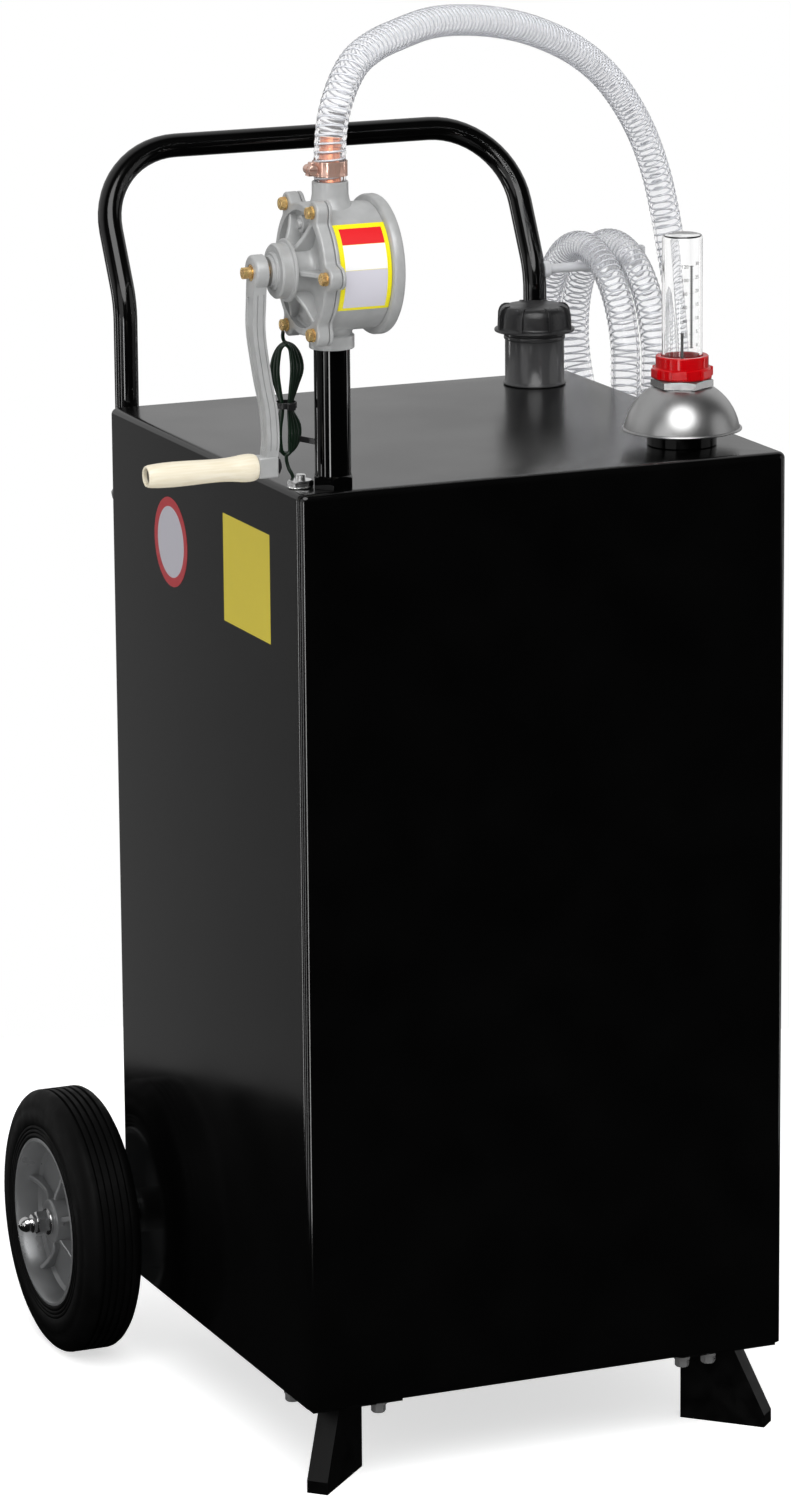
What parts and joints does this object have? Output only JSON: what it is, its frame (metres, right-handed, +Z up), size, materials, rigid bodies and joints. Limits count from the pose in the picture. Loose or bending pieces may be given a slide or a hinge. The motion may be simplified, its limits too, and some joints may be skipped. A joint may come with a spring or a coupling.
{
  "type": "portable fuel caddy",
  "caption": "Square upright steel fuel tank on rear wheels and front feet, with a push handle, hand crank pump, filler, float gauge and coiled delivery hose.",
  "frame": {"origin": "on the floor, under the middle of the object without its hose and bonding wire", "axes": "+Z up; -Y towards the two feet, the front; +X to the right seen from the front, so the crank is on -X"},
  "size_m": [0.5976, 0.5648, 1.1182],
  "materials": {
    "black_paint": "glossy black stoved paint",
    "cast_aluminium": "as-cast aluminium",
    "bright_steel": "bright plated steel",
    "yellow_zinc": "yellow passivated steel",
    "brass": "brass",
    "black_plastic": "black nylon",
    "grey_plastic": "dark grey polyethylene",
    "red_plastic": "red moulding",
    "clear_plastic": "clear moulding",
    "clear_vinyl": "clear ribbed vinyl hose",
    "rubber": "black rubber",
    "tyre": "solid rubber tyre",
    "grey_enamel": "grey enamel",
    "beech": "pale wood",
    "green_vinyl": "dark green wire sleeve",
    "steel": "steel"
  },
  "bodies": {
    "tank": {"tank_shell": "black_paint", "tank_bottom": "black_paint", "foot_left": "black_paint", "foot_right": "black_paint", "axle": "steel", "axle_bracket_left": "black_paint", "axle_bracket_right": "black_paint", "axle_nut_left": "bright_steel", "axle_nut_right": "bright_steel", "handle_frame": "black_paint", "handle_crossbar": "black_paint", "leg_bolt_left": "steel", "leg_bolt_right": "steel", "suction_tube": "black_paint", "column_socket": "black_paint", "suction_strainer": "black_plastic", "pump_body": "cast_aluminium", "pump_cover": "cast_aluminium", "pump_back_plate": "cast_aluminium", "cover_bolt_1": "yellow_zinc", "cover_bolt_2": "yellow_zinc", "cover_bolt_3": "yellow_zinc", "cover_bolt_4": "yellow_zinc", "cover_bolt_5": "yellow_zinc", "cover_bolt_6": "yellow_zinc", "filler_neck": "grey_plastic", "gauge_neck": "black_paint", "gauge_dome": "bright_steel", "gauge_nut": "bright_steel", "gauge_collar": "red_plastic", "gauge_sight_tube": "clear_plastic", "float_bracket": "steel", "hose_barb": "brass", "hose_clamp": "bright_steel", "hose_hook": "black_paint", "hose_arch": "clear_vinyl", "hose_coil": "clear_vinyl", "hose_nozzle": "steel", "ground_nut": "bright_steel", "ground_wire": "green_vinyl"},
    "wheel_left": {"tyre_left": "tyre", "wheel_rim_left": "grey_enamel", "wheel_bush_left": "black_plastic"},
    "wheel_right": {"tyre_right": "tyre", "wheel_rim_right": "grey_enamel", "wheel_bush_right": "black_plastic"},
    "crank": {"pump_shaft": "steel", "pump_rotor": "steel", "pump_vane_upper": "black_plastic", "pump_vane_lower": "black_plastic", "crank_arm": "cast_aluminium", "crank_nut": "brass", "grip_pin": "steel"},
    "grip": {"crank_grip": "beech"},
    "cap": {"filler_cap": "grey_plastic", "cap_seal": "rubber"},
    "pointer": {"gauge_pointer": "steel"},
    "float": {"float_lever": "steel"}
  },
  "joints": [
    {"name": "left_wheel_spin", "type": "hinge", "parent": "tank", "child": "wheel_left", "pos_m": [-0.22555, 0.17455, 0.1078], "axis": [1, 0, 0], "continuous": true},
    {"name": "right_wheel_spin", "type": "hinge", "parent": "tank", "child": "wheel_right", "pos_m": [0.25245, 0.17455, 0.1078], "axis": [1, 0, 0], "continuous": true},
    {"name": "crank_turn", "type": "hinge", "parent": "tank", "child": "crank", "pos_m": [-0.15105, -0.22185, 0.9445], "axis": [1, 0, 0], "continuous": true},
    {"name": "grip_spin", "type": "hinge", "parent": "crank", "child": "grip", "pos_m": [-0.25555, -0.22185, 0.8], "axis": [1, 0, 0], "continuous": true},
    {"name": "cap_lift", "type": "slide", "parent": "tank", "child": "cap", "axis": [0, 0, 1], "range_m": [0, 0.08]},
    {"name": "float_swing", "type": "hinge", "parent": "tank", "child": "float", "pos_m": [0.17245, -0.17815, 0.49], "axis": [0, 1, 0], "range_deg": [0, 116]},
    {"name": "pointer_rise", "type": "slide", "parent": "tank", "child": "pointer", "axis": [0, 0, 1], "range_m": [0, 0.0546]}
  ],
  "couplings": [
    {"joint": "pointer_rise", "follows": "float_swing", "m_per_rad": 0.02686}
  ]
}
